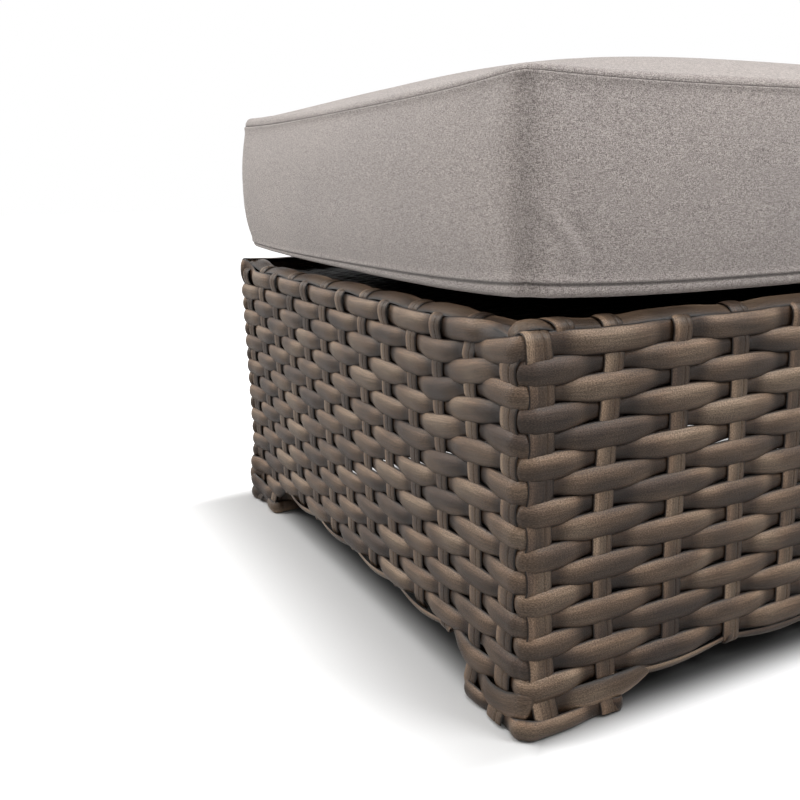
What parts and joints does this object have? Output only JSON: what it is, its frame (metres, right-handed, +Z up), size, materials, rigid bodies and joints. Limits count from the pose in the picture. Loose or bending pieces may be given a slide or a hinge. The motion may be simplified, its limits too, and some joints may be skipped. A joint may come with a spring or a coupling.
{
  "type": "outdoor ottoman footstool",
  "caption": "Low square outdoor footstool: a tube frame wrapped in woven resin strands, woven corner feet and deck, and a loose, thick boxed seat cushion with a zip at the back.",
  "frame": {"origin": "on the floor, at the centre of the square base", "axes": "+Z up, from the glides to the cushion's crown; the front faces -Y and the zip is on +Y"},
  "size_m": [0.61, 0.61, 0.4747],
  "materials": {
    "coated_aluminium": "dark brown powder coat, satin",
    "glide_plastic": "moulded black plastic, fine grain",
    "resin_strand": "extruded all-weather resin strand in streaked driftwood grey-brown, satin",
    "resin_deck": "extruded all-weather resin strand, woven flat, satin",
    "outdoor_fabric": "heathered grey-taupe woven outdoor fabric, matt",
    "upholstery_foam": "open-cell foam block, matt cream",
    "polyester_fibre": "polyester fibre wadding, matt white",
    "zip_tape": "woven tape with moulded teeth, matt grey-taupe",
    "zip_metal": "die-cast slider and pull, grey enamel, satin"
  },
  "bodies": {
    "base": {"bottom_border_back": "resin_strand", "bottom_border_front": "resin_strand", "bottom_border_left": "resin_strand", "bottom_border_right": "resin_strand", "bottom_rail_back": "coated_aluminium", "bottom_rail_front": "coated_aluminium", "bottom_rail_left": "coated_aluminium", "bottom_rail_right": "coated_aluminium", "corner_weave_back_left": "resin_strand", "corner_weave_back_right": "resin_strand", "corner_weave_front_left": "resin_strand", "corner_weave_front_right": "resin_strand", "deck_bearer_1": "coated_aluminium", "deck_bearer_2": "coated_aluminium", "deck_bearer_3": "coated_aluminium", "foot_inner_weave_back_left": "resin_strand", "foot_inner_weave_back_right": "resin_strand", "foot_inner_weave_front_left": "resin_strand", "foot_inner_weave_front_right": "resin_strand", "foot_loop_back_left": "coated_aluminium", "foot_loop_back_right": "coated_aluminium", "foot_loop_front_left": "coated_aluminium", "foot_loop_front_right": "coated_aluminium", "glide_back_left": "glide_plastic", "glide_back_right": "glide_plastic", "glide_front_left": "glide_plastic", "glide_front_right": "glide_plastic", "leg_back_left": "coated_aluminium", "leg_back_right": "coated_aluminium", "leg_front_left": "coated_aluminium", "leg_front_right": "coated_aluminium", "rim_back": "resin_strand", "rim_front": "resin_strand", "rim_left": "resin_strand", "rim_right": "resin_strand", "top_rail_back": "coated_aluminium", "top_rail_front": "coated_aluminium", "top_rail_left": "coated_aluminium", "top_rail_right": "coated_aluminium", "weave_back": "resin_strand", "weave_front": "resin_strand", "weave_left": "resin_strand", "weave_right": "resin_strand", "woven_deck": "resin_deck"},
    "cushion": {"cushion_bottom_pad": "polyester_fibre", "cushion_bottom_panel": "outdoor_fabric", "cushion_boxing_strip": "outdoor_fabric", "cushion_foam_core": "upholstery_foam", "cushion_top_pad": "polyester_fibre", "cushion_top_panel": "outdoor_fabric", "zip_boxing_lower": "outdoor_fabric", "zip_boxing_upper": "outdoor_fabric", "zip_tape_lower": "zip_tape", "zip_tape_upper": "zip_tape"},
    "zip_slider": {"zip_slider": "zip_metal"},
    "zip_pull": {"zip_pull": "zip_metal"}
  },
  "joints": [
    {"name": "cushion_lift", "type": "slide", "parent": "base", "child": "cushion", "axis": [0, 0, 1], "range_m": [0, 0.25]},
    {"name": "zip_slide", "type": "slide", "parent": "cushion", "child": "zip_slider", "axis": [-1, 0, 0], "range_m": [0, 0.511]},
    {"name": "zip_pull_flip", "type": "hinge", "parent": "zip_slider", "child": "zip_pull", "pos_m": [0.2557, 0.3028, 0.36945], "axis": [0, 0, 1], "range_deg": [0, 180]}
  ]
}
